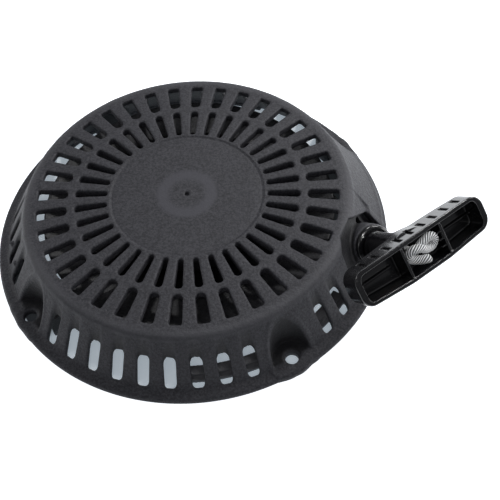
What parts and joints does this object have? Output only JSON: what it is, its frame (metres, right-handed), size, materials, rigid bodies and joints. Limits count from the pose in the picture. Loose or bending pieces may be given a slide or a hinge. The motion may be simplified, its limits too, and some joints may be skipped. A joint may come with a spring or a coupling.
{
  "type": "recoil starter",
  "caption": "Round slotted recoil starter: a sprung rope reel under a fan cover, drive pawls beneath it, and a T-handle on a rope that leaves the wall at an angle.",
  "frame": {"origin": "on the crank axis, on the plane of the mounting flange's underside, where the centre screw's flat head ends", "axes": "+Z along the crank axis, away from the engine, out of the slotted cover; +X towards the side where the rope and handle leave"},
  "size_m": [0.245, 0.1992, 0.0513],
  "materials": {
    "housing_plastic": "fine-grained black-grey moulded plastic",
    "gloss_black": "polished black moulded plastic",
    "reel_plastic": "satin black moulded plastic",
    "rope_fibre": "white braided polyester",
    "steel": "zinc-plated pressed steel",
    "spring_steel": "oiled blue-grey spring steel",
    "brass": "turned brass"
  },
  "bodies": {
    "cover": {"housing": "housing_plastic", "rope_guide": "gloss_black", "mainspring": "spring_steel", "spring_keeper": "steel", "threaded_insert": "brass", "centre_screw": "steel", "retainer_washer": "steel", "rope_feed": "rope_fibre"},
    "reel": {"reel": "reel_plastic", "reel_rim": "reel_plastic", "reel_bushing": "brass", "rope_winding": "rope_fibre", "rope_anchor_knot": "rope_fibre", "pawl_pin_1": "steel", "pawl_pin_2": "steel", "pawl_spring_1": "spring_steel", "pawl_spring_2": "spring_steel", "brake_spring": "spring_steel"},
    "plate": {"friction_plate": "steel"},
    "pawl_a": {"pawl_1": "steel"},
    "pawl_b": {"pawl_2": "steel"},
    "handle": {"handle_grip": "gloss_black", "rope_lead": "rope_fibre", "rope_knot": "rope_fibre"}
  },
  "joints": [
    {"name": "reel_spin", "type": "hinge", "parent": "cover", "child": "reel", "pos_m": [0, 0, 0.0125], "axis": [0, 0, -1], "range_deg": [0, 990], "stiffness_Nm_per_rad": 0.02, "springref_deg": -458.37, "deforming": ["mainspring"]},
    {"name": "handle_pull", "type": "slide", "parent": "cover", "child": "handle", "axis": [0.547, -0.503, 0.6691], "range_m": [0, 1.086]},
    {"name": "friction_plate_turn", "type": "hinge", "parent": "reel", "child": "plate", "pos_m": [0, 0, 0.0055], "axis": [0, 0, 1], "range_deg": [0, 25], "stiffness_Nm_per_rad": 0.02, "springref_deg": -22.92},
    {"name": "pawl_1_swing", "type": "hinge", "parent": "reel", "child": "pawl_a", "pos_m": [0.024, 0, 0.009], "axis": [0, 0, 1], "range_deg": [0, 30.01]},
    {"name": "pawl_2_swing", "type": "hinge", "parent": "reel", "child": "pawl_b", "pos_m": [-0.024, 0, 0.009], "axis": [0, 0, 1], "range_deg": [0, 30.01]}
  ],
  "couplings": [
    {"joint": "handle_pull", "follows": "reel_spin", "m_per_rad": 0.0628},
    {"joint": "pawl_1_swing", "follows": "friction_plate_turn", "ratio": 1.2},
    {"joint": "pawl_2_swing", "follows": "friction_plate_turn", "ratio": 1.2}
  ]
}
